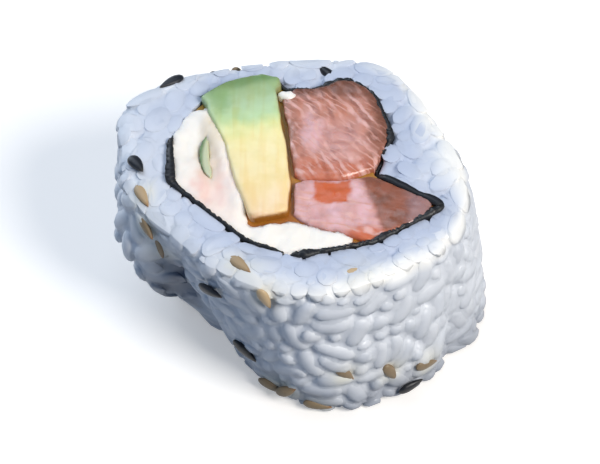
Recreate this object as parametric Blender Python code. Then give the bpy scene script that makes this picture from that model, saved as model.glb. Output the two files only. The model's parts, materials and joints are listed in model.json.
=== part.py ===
"""One slice of uramaki, the inside-out sushi roll: a ring of rice round a wrap of nori, which holds avocado,
salmon, cream cheese and a strip of spring onion. The slice stands on one cut face, with the other one up.
+X is the slice's right, +Y its back and +Z up. Lengths are in metres."""

import math

import bmesh
import bpy
from mathutils import Vector, noise

MM = 0.001

# Driving dimensions.
SLICE_HEIGHT = 23.0 * MM
LEAN = 3.3 * MM  # how far right of the top face the foot stands
FOOT_SCALE = 0.93  # the filling's section at the foot, against its section at the top
CLEARANCE = 0.3 * MM  # between neighbouring pieces
FOOT_GAP = 0.15 * MM  # the wrap and the filling end this far above the rice's foot
NORI_THICKNESS = 0.5 * MM
NORI_STANDS = 0.2 * MM  # above the rice's top face, as the other heights below are
AVOCADO_STANDS = 0.8 * MM
SALMON_BACK_STANDS = 0.35 * MM
SALMON_FRONT_STANDS = 0.1 * MM
CREAM_STANDS = -0.2 * MM
ONION_STANDS = 0.0 * MM
FILLING_BEVEL = 0.45 * MM

# The rice's side: its radius in millimetres in 12 directions, every 30 degrees counter-clockwise from +X.
TOP_RADII = (20.3, 18.9, 20.8, 18.8, 19.8, 23.8, 21.8, 18.5, 18.1, 19.2, 19.7, 21.4)
FOOT_RADII = (20.0, 18.3, 19.0, 17.5, 18.0, 20.0, 18.6, 14.6, 15.6, 18.6, 18.6, 19.6)
BULGES = (0.2, 0.5, 0.6, 0.6, 0.8, 1.6, 2.0, 0.9, 0.3, 0.7, 0.6, 0.2)
SIDE_SEGMENTS = 96
SIDE_ROWS = 15
EDGE_RADIUS = 1.0 * MM
LUMP_HEIGHT = 0.55 * MM
LUMP_SIZE = 2.6 * MM
CREASES = (  # upright hollows between lobes: direction in degrees, width in degrees, depth at the foot
    (212, 9, 1.9 * MM),
    (326, 6, 1.9 * MM),
)
CLUMP_DIRECTION = math.radians(194)  # a clump of rice hangs out on the left
CLUMP_HALF_WIDTH = math.radians(15)
CLUMP_MIDDLE = 11.8 * MM  # above the foot
CLUMP_HALF_HEIGHT = 6.6 * MM
CLUMP_STANDS = 2.3 * MM

# Sections seen from above, counter-clockwise: corners as (x, y, rounding radius) in millimetres.
NORI_LINE = (
    (17.4, -5.7, 0.4),
    (8.9, -0.3, 1.2),
    (11.3, 5.6, 2.0),
    (9.3, 12.4, 3.0),
    (5.7, 15.2, 3.0),
    (2.6, 12.9, 3.0),
    (-1.5, 13.0, 1.0),
    (-3.0, 15.7, 1.2),
    (-7.4, 14.4, 3.0),
    (-12.2, 11.0, 3.0),
    (-15.3, 4.6, 3.0),
    (-15.1, -1.9, 1.5),
    (-6.0, -11.0, 4.0),
    (-0.4, -13.5, 4.0),
    (8.8, -11.4, 5.0),
)
AVOCADO = (
    (-1.0, -7.1, 0.7),
    (-0.8, -2.5, 6.0),
    (-1.5, 5.0, 10.0),
    (-2.9, 14.6, 0.8),
    (-7.2, 13.4, 4.0),
    (-11.0, 10.8, 0.8),
    (-10.7, 8.8, 1.0),
    (-8.7, 4.0, 5.0),
    (-7.4, -2.0, 8.0),
    (-5.5, -8.2, 0.8),
)
CREAM_CHEESE = (
    (5.4, -11.4, 1.0),
    (6.6, -10.6, 0.3),
    (3.6, -9.5, 3.0),
    (-0.2, -7.9, 1.0),
    (-5.8, -8.9, 1.0),
    (-7.9, -2.0, 8.0),
    (-9.2, 3.7, 5.0),
    (-11.3, 8.5, 0.8),
    (-12.1, 9.6, 0.6),
    (-14.5, 4.4, 2.0),
    (-14.3, -1.6, 1.2),
    (-5.7, -10.2, 4.0),
    (-0.4, -12.6, 4.0),
)
SALMON_BACK = (
    (0.1, -1.1, 0.8),
    (4.6, -1.3, 3.0),
    (8.1, -0.2, 1.2),
    (10.4, 5.6, 2.0),
    (8.6, 12.0, 3.0),
    (5.6, 14.2, 3.0),
    (3.0, 12.3, 3.0),
    (-0.9, 12.3, 0.8),
    (-0.6, 5.0, 8.0),
)
SALMON_FRONT = (
    (-0.3, -6.8, 1.0),
    (0.9, -8.1, 2.0),
    (4.4, -9.2, 3.0),
    (8.0, -10.7, 2.0),
    (12.7, -8.2, 2.0),
    (15.5, -5.7, 0.4),
    (8.3, -1.2, 1.0),
    (5.8, -2.0, 3.0),
    (0.0, -1.9, 0.6),
)
ONION_CENTRE = (-10.6, 2.0)
ONION_LENGTH = 6.4
ONION_WIDTH = 0.9
ONION_BOW = 0.5  # how far its middle stands left of its ends
ONION_TURN = math.radians(5)

ARC_STEP = math.radians(24)  # between points on a rounded corner
LARGEST_REACH = 0.48  # of an edge that a rounded corner may use

COLOURS = {  # base colour and roughness
    "rice": ((0.74, 0.77, 0.80, 1.0), 0.45),
    "nori": ((0.012, 0.018, 0.014, 1.0), 0.5),
    "avocado": ((0.78, 0.74, 0.36, 1.0), 0.4),
    "salmon": ((0.60, 0.23, 0.15, 1.0), 0.3),
    "cream_cheese": ((0.88, 0.83, 0.75, 1.0), 0.4),
    "spring_onion": ((0.16, 0.28, 0.07, 1.0), 0.4),
}


def clear_scene():
    for thing in list(bpy.data.objects):
        bpy.data.objects.remove(thing)


def food_material(name):
    colour, roughness = COLOURS[name]
    material = bpy.data.materials.new(name)
    material.use_nodes = True
    shader = material.node_tree.nodes["Principled BSDF"]
    shader.inputs["Base Color"].default_value = colour
    shader.inputs["Roughness"].default_value = roughness
    shader.inputs["Metallic"].default_value = 0.0
    return material


# --- Sections ---


def rounded_outline(corners):
    """The closed outline, in metres, of straight edges with an arc at each corner."""
    points = []
    for i, (x, y, radius) in enumerate(corners):
        corner = Vector((x, y))
        back = Vector(corners[i - 1][:2]) - corner
        ahead = Vector(corners[(i + 1) % len(corners)][:2]) - corner
        half = back.angle(ahead) / 2
        reach = min(radius / math.tan(half), LARGEST_REACH * min(back.length, ahead.length))
        radius = reach * math.tan(half)
        back.normalize()
        ahead.normalize()
        centre = corner + (back + ahead).normalized() * (radius / math.sin(half))
        start = corner + back * reach - centre
        end = corner + ahead * reach - centre
        first = math.atan2(start.y, start.x)
        sweep = (math.atan2(end.y, end.x) - first + math.pi) % math.tau - math.pi
        steps = max(1, round(abs(sweep) / ARC_STEP))
        for step in range(steps + 1):
            angle = first + sweep * step / steps
            points.append((centre + radius * Vector((math.cos(angle), math.sin(angle)))) * MM)
    return points


def sliver_outline():
    """The spring onion's section: a bowed sliver, thickest at its middle and pointed at both ends."""
    steps = 8
    half = ONION_LENGTH / 2
    sides = []
    for side in (1, -1):
        for step in range(steps):
            along = side * (1 - 2 * step / steps)
            bow = ONION_BOW * (1 - along**2)
            swell = side * ONION_WIDTH / 2 * (1 - along**2) ** 0.6
            sides.append(Vector((swell - bow, along * half)))
    turn = Vector((math.cos(ONION_TURN), math.sin(ONION_TURN)))
    centre = Vector(ONION_CENTRE)
    outline = [centre + Vector((p.x * turn.x - p.y * turn.y, p.x * turn.y + p.y * turn.x)) for p in sides]
    return [point * MM for point in reversed(outline)]


def offset_outline(points, distance):
    """A counter-clockwise outline moved outwards by a distance, or inwards by a negative one."""
    moved = []
    for i, point in enumerate(points):
        before = (point - points[i - 1]).normalized()
        after = (points[(i + 1) % len(points)] - point).normalized()
        along = (before + after).normalized()
        outwards = Vector((along.y, -along.x))
        moved.append(point + outwards * distance / max(0.4, along.dot(after)))
    return moved


def settle(point):
    """Where a point of the upright section goes once the slice has leaned and its foot has narrowed."""
    down = 1 - point.z / SLICE_HEIGHT
    scale = 1 - (1 - FOOT_SCALE) * down
    return Vector((point.x * scale + LEAN * down, point.y * scale, point.z))


# --- Solids ---


def finish_mesh(mesh_builder, name, material, smooth_angle=math.radians(40)):
    """Makes the object of a bmesh, with its faces pointing out and its gentle edges smooth."""
    bmesh.ops.recalc_face_normals(mesh_builder, faces=mesh_builder.faces)
    mesh = bpy.data.meshes.new(name)
    mesh_builder.to_mesh(mesh)
    mesh_builder.free()
    mesh.shade_smooth()
    mesh.set_sharp_from_angle(angle=smooth_angle)
    piece = bpy.data.objects.new(name, mesh)
    bpy.context.scene.collection.objects.link(piece)
    if material:
        mesh.materials.append(material)
    return piece


def prism(name, outline, low, high, material=None):
    """A strip of filling: the outline as a face, extruded from low to high, and settled."""
    strip = bmesh.new()
    foot = strip.faces.new([strip.verts.new((p.x, p.y, low)) for p in outline])
    raised = bmesh.ops.extrude_face_region(strip, geom=[foot])["geom"]
    top = [item for item in raised if isinstance(item, bmesh.types.BMVert)]
    bmesh.ops.translate(strip, verts=top, vec=(0, 0, high - low))
    for vertex in strip.verts:
        vertex.co = settle(vertex.co)
    return finish_mesh(strip, name, material)


def soften_edges(piece, width=FILLING_BEVEL):
    """Rounds a strip's cut edges, as a knife leaves soft food."""
    bevel = piece.modifiers.new("soft_edges", "BEVEL")
    bevel.width = width
    bevel.segments = 2
    bevel.limit_method = "ANGLE"
    bevel.angle_limit = math.radians(60)


def cutter(name, outline, low, high):
    tool = prism(name, outline, low, high)
    tool.hide_render = True
    tool.display_type = "WIRE"
    return tool


def cut(piece, tool):
    boolean = piece.modifiers.new("cut_" + tool.name, "BOOLEAN")
    boolean.operation = "DIFFERENCE"
    boolean.object = tool


def nori_wrap(line, material):
    """The nori: the band between two offsets of its middle line, bridged at the foot and extruded up."""
    band = bmesh.new()
    loops = []
    for side in (-0.5, 0.5):
        outline = offset_outline(line, side * NORI_THICKNESS)
        corners = [band.verts.new((p.x, p.y, FOOT_GAP)) for p in outline]
        loops += [band.edges.new((corners[i - 1], corners[i])) for i in range(len(corners))]
    foot = bmesh.ops.bridge_loops(band, edges=loops)["faces"]
    raised = bmesh.ops.extrude_face_region(band, geom=foot)["geom"]
    top = [item for item in raised if isinstance(item, bmesh.types.BMVert)]
    bmesh.ops.translate(band, verts=top, vec=(0, 0, SLICE_HEIGHT + NORI_STANDS - FOOT_GAP))
    for vertex in band.verts:
        vertex.co = settle(vertex.co)
    return finish_mesh(band, "nori", material)


def around(values, angle):
    """The value at an angle, on a smooth closed curve through values at equal steps from +X."""
    place = angle / math.tau * len(values)
    first = math.floor(place)
    a, b, c, d = (values[(first + step) % len(values)] for step in (-1, 0, 1, 2))
    f = place - first
    return b + 0.5 * f * (c - a + f * (2 * a - 5 * b + 4 * c - d + f * (3 * (b - c) + d - a)))


def turn_between(angle, direction):
    """The turn from a direction to an angle, from half a turn back to half a turn ahead."""
    return (angle - direction + math.pi) % math.tau - math.pi


def clump(angle, height):
    """How far the hanging clump stands out: a pillow with a distinct edge."""
    across = turn_between(angle, CLUMP_DIRECTION) / CLUMP_HALF_WIDTH
    up = (height - CLUMP_MIDDLE) / CLUMP_HALF_HEIGHT
    return CLUMP_STANDS * math.sqrt(max(0, 1 - across**2 - up**2))


def rice_radius(angle, height):
    """The rice's radius in metres at an angle and a height: outline, bulge, creases, clump and rounded edges."""
    up = height / SLICE_HEIGHT
    radius = around(FOOT_RADII, angle) * (1 - up) + around(TOP_RADII, angle) * up
    radius = (radius + around(BULGES, angle) * math.sin(math.pi * up)) * MM + clump(angle, height)
    for direction, width, depth in CREASES:
        away = turn_between(angle, math.radians(direction)) / math.radians(width)
        radius -= depth * (1 - up) * math.exp(-(away**2))
    into_edge = EDGE_RADIUS - min(height, SLICE_HEIGHT - height, EDGE_RADIUS)
    return radius - EDGE_RADIUS + math.sqrt(EDGE_RADIUS**2 - into_edge**2)


def rice_lump(place):
    """How far the packed grains stand out at a place on the rice's side."""
    return LUMP_HEIGHT * noise.noise(place / LUMP_SIZE)


def rice_levels():
    """The heights of the side's rows, closer together at the rounded edges."""
    edges = [EDGE_RADIUS * (1 - math.cos(math.radians(a))) for a in (0, 45, 90)]
    inner = SLICE_HEIGHT - 2 * EDGE_RADIUS
    middle = [EDGE_RADIUS + inner * row / SIDE_ROWS for row in range(1, SIDE_ROWS)]
    return edges + middle + [SLICE_HEIGHT - edge for edge in reversed(edges)]


def rice_ring(hole, material):
    """The rice: a disc extruded row by row and shaped to the slice's outline, with the wrap's hole cut through."""
    levels = rice_levels()
    ring = bmesh.new()
    bmesh.ops.create_circle(ring, cap_ends=True, segments=SIDE_SEGMENTS, radius=1)
    raised = ring.faces[:] + ring.edges[:]
    for low, high in zip(levels, levels[1:]):
        raised = bmesh.ops.extrude_face_region(ring, geom=raised)["geom"]
        top = [item for item in raised if isinstance(item, bmesh.types.BMVert)]
        bmesh.ops.translate(ring, verts=top, vec=(0, 0, high - low))
    for vertex in ring.verts:
        angle = math.atan2(vertex.co.y, vertex.co.x) % math.tau
        height = min(max(vertex.co.z, 0), SLICE_HEIGHT)
        outwards = Vector((math.cos(angle), math.sin(angle), 0))
        place = outwards * rice_radius(angle, height) + Vector((0, 0, height))
        place += outwards * rice_lump(place)
        vertex.co = place + Vector((LEAN * (1 - height / SLICE_HEIGHT), 0, 0))
    rice = finish_mesh(ring, "rice", material)
    cut(rice, cutter("hole_cutter", hole, -CLEARANCE * 5, SLICE_HEIGHT + CLEARANCE * 5))
    return rice


def stand_on_origin(pieces, leader):
    """Hangs the pieces on an empty that puts the leader's box over the origin."""
    bpy.context.view_layer.update()
    corners = [Vector(corner) for corner in leader.bound_box]
    stand = bpy.data.objects.new("uramaki_slice", None)
    bpy.context.scene.collection.objects.link(stand)
    for axis in (0, 1):
        places = [corner[axis] for corner in corners]
        stand.location[axis] = -(min(places) + max(places)) / 2
    for piece in pieces:
        piece.parent = stand


def main():
    clear_scene()
    materials = {name: food_material(name) for name in COLOURS}
    top = SLICE_HEIGHT
    line = rounded_outline(NORI_LINE)
    onion_outline = sliver_outline()

    rice = rice_ring(offset_outline(line, NORI_THICKNESS / 2 + CLEARANCE), materials["rice"])
    nori = nori_wrap(line, materials["nori"])
    fillings = {
        "avocado": (AVOCADO, AVOCADO_STANDS, "avocado"),
        "salmon_back": (SALMON_BACK, SALMON_BACK_STANDS, "salmon"),
        "salmon_front": (SALMON_FRONT, SALMON_FRONT_STANDS, "salmon"),
    }
    strips = []
    for name, (corners, stands, finish) in fillings.items():
        strip = prism(name, rounded_outline(corners), FOOT_GAP, top + stands, materials[finish])
        soften_edges(strip)
        strips.append(strip)

    cream = prism(
        "cream_cheese", rounded_outline(CREAM_CHEESE), FOOT_GAP, top + CREAM_STANDS, materials["cream_cheese"]
    )
    onion = prism("spring_onion", onion_outline, FOOT_GAP, top + ONION_STANDS, materials["spring_onion"])
    slot = offset_outline(onion_outline, CLEARANCE)
    cut(cream, cutter("onion_cutter", slot, -CLEARANCE * 5, top + CLEARANCE * 5))

    tools = [thing for thing in bpy.data.objects if thing.hide_render]
    stand_on_origin([rice, nori, cream, onion] + strips + tools, rice)


main()
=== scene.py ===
"""The looks of one uramaki slice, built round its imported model: rice grains pressed into a ring over a
smaller core, a ragged wrap of nori, the strips of filling with their marbling, and the sesame seeds."""

import json
import math
from dataclasses import dataclass

import bmesh
import bpy
import numpy as np
from bpy.props import FloatProperty, FloatVectorProperty, IntProperty, PointerProperty
from bpy.types import Operator, Panel, PropertyGroup
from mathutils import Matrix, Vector, noise
from mathutils.bvhtree import BVHTree

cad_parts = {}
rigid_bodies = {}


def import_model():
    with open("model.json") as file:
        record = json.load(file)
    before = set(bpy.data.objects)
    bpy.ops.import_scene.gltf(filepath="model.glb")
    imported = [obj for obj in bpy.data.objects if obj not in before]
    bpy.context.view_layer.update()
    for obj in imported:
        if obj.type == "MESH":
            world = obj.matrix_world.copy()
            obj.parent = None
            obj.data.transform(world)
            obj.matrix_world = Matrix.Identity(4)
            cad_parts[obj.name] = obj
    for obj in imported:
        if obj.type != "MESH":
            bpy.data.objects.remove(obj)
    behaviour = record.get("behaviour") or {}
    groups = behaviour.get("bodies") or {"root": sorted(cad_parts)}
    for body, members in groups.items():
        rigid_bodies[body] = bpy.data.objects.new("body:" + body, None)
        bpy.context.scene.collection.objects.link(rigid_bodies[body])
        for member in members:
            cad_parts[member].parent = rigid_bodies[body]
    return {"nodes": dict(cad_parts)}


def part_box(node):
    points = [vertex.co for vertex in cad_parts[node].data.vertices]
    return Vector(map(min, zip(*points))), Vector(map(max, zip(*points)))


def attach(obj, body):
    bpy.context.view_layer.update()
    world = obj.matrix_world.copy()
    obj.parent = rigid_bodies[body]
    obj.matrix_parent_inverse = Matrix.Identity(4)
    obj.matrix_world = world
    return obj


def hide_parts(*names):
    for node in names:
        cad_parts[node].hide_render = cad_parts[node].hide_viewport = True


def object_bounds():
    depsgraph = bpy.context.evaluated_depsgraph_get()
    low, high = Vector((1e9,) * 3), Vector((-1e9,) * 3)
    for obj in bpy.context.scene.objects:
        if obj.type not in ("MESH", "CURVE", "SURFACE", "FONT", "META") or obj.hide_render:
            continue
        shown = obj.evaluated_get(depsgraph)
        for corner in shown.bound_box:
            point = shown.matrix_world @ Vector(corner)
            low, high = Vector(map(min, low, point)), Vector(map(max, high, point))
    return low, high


bl_info = {
    "name": "Uramaki Slice",
    "version": (1, 0, 0),
    "blender": (4, 5, 0),
    "location": "3D View > Sidebar > Uramaki",
    "description": "Dresses a slice of inside-out sushi roll with rice, nori, filling and sesame seeds",
    "category": "Add Mesh",
}

MM = 0.001
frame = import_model()
CAD_BOX = [list(corner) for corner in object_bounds()]
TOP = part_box("rice")[1].z  # the height of the rice's upper cut face


# --- Settings ---

COLOUR = {"size": 3, "subtype": "COLOR"}


class RiceSettings(PropertyGroup):
    """The rice grains and how they are packed."""

    seed: IntProperty(name="Seed", description="Which packing is made", default=4, min=0)
    count: IntProperty(name="Grains", description="How many grains are packed", default=960, min=10)
    length: FloatProperty(name="Length", description="A grain's length", default=5.2 * MM, unit="LENGTH")
    width: FloatProperty(name="Width", description="A grain's width", default=2.7 * MM, unit="LENGTH")
    thickness: FloatProperty(name="Depth", description="A grain's depth", default=2.3 * MM, unit="LENGTH")
    core_depth: FloatProperty(
        name="Core Depth", description="The core's depth inside the wall", default=1.2 * MM, unit="LENGTH"
    )
    stickiness: IntProperty(
        name="Stickiness", description="How smoothly starch fills the crevices", default=10, min=0
    )
    give_to_mat: FloatProperty(
        name="Give to Mat", description="How far grains stand out", default=0.36 * MM, unit="LENGTH"
    )
    edge_rounding: FloatProperty(
        name="Rounding", description="How far the rims drop at the side", default=0.8 * MM, unit="LENGTH"
    )
    cut_step: FloatProperty(
        name="Cut Step", description="How unevenly the knife cuts", default=0.12 * MM, unit="LENGTH"
    )
    cut_softness: FloatProperty(
        name="Cut Softness", description="How round a cut grain's edge is", default=0.26 * MM, unit="LENGTH"
    )
    colour: FloatVectorProperty(
        name="Grain", description="Colour of the rice", default=(0.725, 0.745, 0.78), **COLOUR
    )
    glassy: FloatVectorProperty(
        name="Glassy", description="The clearer grains", default=(0.66, 0.69, 0.74), **COLOUR
    )
    # Rice near the wrap: wet, and painted darker and bluer as shade.
    wet: FloatVectorProperty(
        name="Wet", description="Rice near the wrap", default=(0.44, 0.495, 0.63), **COLOUR
    )


class NoriSettings(PropertyGroup):
    """The wrap of nori."""

    raggedness: FloatProperty(
        name="Raggedness", description="How far the cut edge wavers", default=0.16 * MM, unit="LENGTH"
    )
    colour: FloatVectorProperty(
        name="Nori", description="Colour of the nori", default=(0.010, 0.010, 0.015), **COLOUR
    )


class FillingSettings(PropertyGroup):
    """The strips of filling."""

    swell: FloatProperty(
        name="Swell", description="How far soft filling spreads", default=0.34 * MM, unit="LENGTH"
    )
    avocado_skin: FloatVectorProperty(
        name="Avocado Skin", description="Under the skin", default=(0.36, 0.50, 0.25), **COLOUR
    )
    avocado_flesh: FloatVectorProperty(
        name="Avocado Flesh", description="By the stone", default=(1.0, 0.79, 0.43), **COLOUR
    )
    salmon_lean: FloatVectorProperty(
        name="Salmon Lean", description="The lean fish", default=(0.60, 0.25, 0.17), **COLOUR
    )
    salmon_fat: FloatVectorProperty(
        name="Salmon Fat", description="The fatty fish", default=(0.82, 0.51, 0.53), **COLOUR
    )
    cream: FloatVectorProperty(
        name="Cream Cheese", description="The cheese", default=(1.0, 0.90, 0.79), **COLOUR
    )
    onion: FloatVectorProperty(
        name="Spring Onion", description="The leaf", default=(0.10, 0.17, 0.05), **COLOUR
    )


class SesameSettings(PropertyGroup):
    """The sesame seeds."""

    seed: IntProperty(name="Seed", description="Which scatter of seeds is made", default=3, min=0)
    scattered: IntProperty(name="Scattered", description="Seeds on the slice's back", default=26, min=0)
    length: FloatProperty(name="Length", description="A seed's length", default=3.4 * MM, unit="LENGTH")
    width: FloatProperty(name="Width", description="A seed's width", default=1.5 * MM, unit="LENGTH")
    thickness: FloatProperty(name="Depth", description="A seed's depth", default=0.9 * MM, unit="LENGTH")
    black: FloatVectorProperty(
        name="Black", description="Black sesame", default=(0.009, 0.010, 0.014), **COLOUR
    )
    toasted: FloatVectorProperty(
        name="Toasted", description="Toasted sesame", default=(0.44, 0.31, 0.17), **COLOUR
    )


class StageSettings(PropertyGroup):
    """The floor, the lights and the camera."""

    floor: FloatVectorProperty(
        name="Floor", description="Colour of the floor", default=(0.94, 0.91, 0.87), **COLOUR
    )
    elevation: FloatProperty(
        name="Elevation", description="The camera's height", default=math.radians(49), subtype="ANGLE"
    )
    distance: FloatProperty(name="Distance", description="From the slice", default=0.45, unit="LENGTH")
    view_height: FloatProperty(
        name="View Height", description="What the picture takes in", default=0.056, unit="LENGTH"
    )


class UramakiSettings(PropertyGroup):
    """Everything that can be changed about the slice."""

    rice: PointerProperty(type=RiceSettings)
    nori: PointerProperty(type=NoriSettings)
    filling: PointerProperty(type=FillingSettings)
    sesame: PointerProperty(type=SesameSettings)
    stage: PointerProperty(type=StageSettings)


# --- Meshes and pieces ---


def solid(name):
    """A CAD node's mesh."""
    return frame["nodes"][name].data


def gathered(*meshes):
    """A bmesh of some meshes together."""
    builder = bmesh.new()
    for mesh in meshes:
        builder.from_mesh(mesh)
    return builder


def to_mesh(builder, name):
    """Turns a bmesh into a mesh, and frees it."""
    mesh = bpy.data.meshes.new(name)
    builder.to_mesh(mesh)
    builder.free()
    return mesh


def search_tree(*meshes):
    """A search tree of the surface of some meshes."""
    builder = gathered(*meshes)
    tree = BVHTree.FromBMesh(builder)
    builder.free()
    return tree


def add_object(name, data):
    made = bpy.data.objects.new(name, data)
    bpy.context.scene.collection.objects.link(made)
    return made


def add_piece(mesh, name, material, replaced=None, smooth=True):
    """Makes a mesh a piece that rides on the slice, in place of the node that it stands for."""
    if smooth:
        mesh.shade_smooth()
    mesh.materials.clear()
    mesh.materials.append(material)
    piece = add_object(name, mesh)
    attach(piece, "root")
    if replaced:
        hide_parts(replaced)
    return piece


def read(items, field, width):
    """What a mesh holds for each item, as rows so many numbers wide."""
    flat = np.empty(len(items) * width)
    items.foreach_get(field, flat)
    return flat.reshape(-1, width)


def places_of(mesh):
    return read(mesh.vertices, "co", 3)


def normals_of(mesh):
    return read(mesh.vertex_normals, "vector", 3)


def put_places(mesh, places):
    """Moves a mesh's points to those of an array."""
    mesh.vertices.foreach_set("co", np.ascontiguousarray(places).ravel())
    mesh.update()


def paint(mesh, **layers):
    """Stores numbers for each point of a mesh, under names that its material reads."""
    for name, values in layers.items():
        layer = mesh.attributes.new(name, "FLOAT", "POINT")
        layer.data.foreach_set("value", np.full(len(mesh.vertices), values, np.float32))


def remeshed(mesh, voxel, smoothing):
    """A finely meshed version of a closed mesh, smoothed so many times. It uses up the given one."""
    rough = add_object(mesh.name, mesh)
    even = rough.modifiers.new("even", "REMESH")
    even.mode = "VOXEL"
    even.voxel_size = voxel
    rough.modifiers.new("soft", "SMOOTH").iterations = smoothing
    bpy.context.view_layer.update()
    fine = bpy.data.meshes.new_from_object(rough.evaluated_get(bpy.context.evaluated_depsgraph_get()))
    bpy.data.objects.remove(rough)
    bpy.data.meshes.remove(mesh)
    return fine


def tube(turns, rows):
    """A tube of so many rows, as a bmesh, and the points and edges of each row."""
    builder = bmesh.new()
    points = bmesh.ops.create_circle(builder, segments=turns, radius=1)["verts"]
    loops = [(points, builder.edges[:])]
    for _ in range(rows - 1):
        made = bmesh.ops.extrude_edge_only(builder, edges=loops[-1][1])["geom"]
        points = [item for item in made if isinstance(item, bmesh.types.BMVert)]
        edges = [item for item in made if isinstance(item, bmesh.types.BMEdge) and item.is_boundary]
        loops.append((points, edges))
    return builder, loops


def angles_of(points):
    return np.array([math.atan2(point.co.y, point.co.x) for point in points])


def put_points(points, places):
    for point, place in zip(points, places):
        point.co = place


# --- Fields ---


def ripple(places, lump, seed=0.0, octaves=3):
    """Smooth noise from about -1 to 1 at each place, with lumps of a size in millimetres."""
    shift = Vector((seed * 7.31, seed * 3.17, seed * 5.03))
    return np.array([noise.fractal(Vector(p) / (lump * MM) + shift, 0.6, 2.0, octaves) for p in places])


def wobbled(places, lump, amount, seed):
    """Places moved so many millimetres by smooth noise, so that patterns on them get ragged edges."""
    moves = [ripple(places, lump, seed + k) for k in range(3)]
    return places + np.stack(moves, -1) * (amount * MM)


def smoothstep(low, high, value):
    """0 below low, 1 above high, and a smooth change between them."""
    t = np.clip((np.asarray(value) - low) / (high - low), 0, 1)
    return t * t * (3 - 2 * t)


def between(low, high, soft, value):
    """1 between low and high and 0 elsewhere, with soft edges."""
    return smoothstep(low - soft, low + soft, value) * smoothstep(high + soft, high - soft, value)


def spot(x, y, middle, half, soft=0.35):
    """A soft-edged upright spot, 1 inside and 0 outside, with its middle and half sizes along x and y."""
    away = np.hypot((x - middle[0]) / half[0], (y - middle[1]) / half[1])
    return 1 - smoothstep(1 - soft, 1 + soft, away)


def soft_limit(excess, give):
    """Squeezes what stands beyond a limit: nothing passes it by more than give."""
    return np.where(excess > 0, give * (1 - np.exp(-np.maximum(excess, 0) / give)), excess)


def blend(weight, there, here):
    """Rows between two arrays, the first one's where the weight is 1."""
    return there * weight[:, None] + here * (1 - weight)[:, None]


def unit(rows):
    """An array's rows, each made one long."""
    return rows / np.linalg.norm(rows, axis=1, keepdims=True)


# --- The slice's round shape ---


def level_centre(name, lowest, highest):
    """The middle, seen from above, of a node's points between two heights."""
    places = places_of(solid(name))
    level = places[(places[:, 2] >= lowest) & (places[:, 2] <= highest), :2]
    return (level.min(0) + level.max(0)) / 2


FOOT_CENTRE = level_centre("nori", 0, TOP / 2)
TOP_CENTRE = level_centre("nori", TOP / 2, TOP * 2)


def centre_at(height):
    """Where the slice's leaning middle line is at a height, or at an array of heights."""
    up = np.asarray(height)[..., None] / TOP
    return FOOT_CENTRE + (TOP_CENTRE - FOOT_CENTRE) * up


def to_polar(places):
    """Angle, radius and height about the slice's middle line."""
    offset = places[:, :2] - centre_at(places[:, 2])
    return np.arctan2(offset[:, 1], offset[:, 0]), np.hypot(offset[:, 0], offset[:, 1]), places[:, 2]


def from_polar(angle, radius, height):
    """The places at these angles, radii and heights about the middle line."""
    height = np.broadcast_to(height, np.shape(angle)).astype(float)
    out = np.stack([np.cos(angle), np.sin(angle)], -1)
    return np.concatenate([centre_at(height) + out * np.asarray(radius)[..., None], height[..., None]], -1)


@dataclass
class Wall:
    """A wall that stands round the middle line, as radii at even steps of angle and height."""

    radii: np.ndarray
    low: float
    high: float

    def at(self, angle, height):
        """The wall's radius at angles and heights, which are held to the measured span."""
        turns, levels = self.radii.shape
        a = np.asarray(angle) / math.tau * turns
        h = (np.clip(height, self.low, self.high) - self.low) / (self.high - self.low) * (levels - 1)
        i = np.floor(a).astype(int)
        j = np.clip(np.floor(h).astype(int), 0, levels - 2)
        f = a - i
        g = h - j
        r = self.radii
        lower = r[i % turns, j] * (1 - f) + r[(i + 1) % turns, j] * f
        upper = r[i % turns, j + 1] * (1 - f) + r[(i + 1) % turns, j + 1] * f
        return lower * (1 - g) + upper * g


@dataclass
class Hollow:
    """A hollow in the rice's side: its direction and half width in degrees, the rest in millimetres."""

    direction: float
    half_width: float
    height: float
    half_height: float
    depth: float
    shade: float  # how much painted shade darkens it

    def share(self, angle, height):
        """1 in the hollow's middle, falling off to 0 around it."""
        away = (angle - math.radians(self.direction) + math.pi) % math.tau - math.pi
        up = (height / MM - self.height) / self.half_height
        return np.exp(-((away / math.radians(self.half_width)) ** 2) - up**4)

    def press_into(self, wall):
        turns, levels = wall.radii.shape
        angle = np.linspace(0, math.tau, turns, endpoint=False)[:, None]
        height = np.linspace(wall.low, wall.high, levels)[None]
        wall.radii -= self.depth * MM * self.share(angle, height)


WALL_MARGIN = 1.2 * MM  # walls are measured this far in from the cut faces
FAR_OUT = 0.05  # from where rays are cast inwards


def measure_wall(name, outer, turns=240, levels=20):
    """Measures a node's outer or inner wall by casting rays at it, level by level."""
    tree = search_tree(solid(name))
    heights = np.linspace(WALL_MARGIN, TOP - WALL_MARGIN, levels)
    radii = np.zeros((turns, levels))
    for j, height in enumerate(heights):
        middle = Vector((*centre_at(height), height))
        for i in range(turns):
            angle = math.tau * i / turns
            out = Vector((math.cos(angle), math.sin(angle), 0))
            if outer:
                radii[i, j] = FAR_OUT - tree.ray_cast(middle + out * FAR_OUT, -out)[3]
            else:
                radii[i, j] = tree.ray_cast(middle, out)[3]
    return Wall(radii, heights[0], heights[-1])


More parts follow.
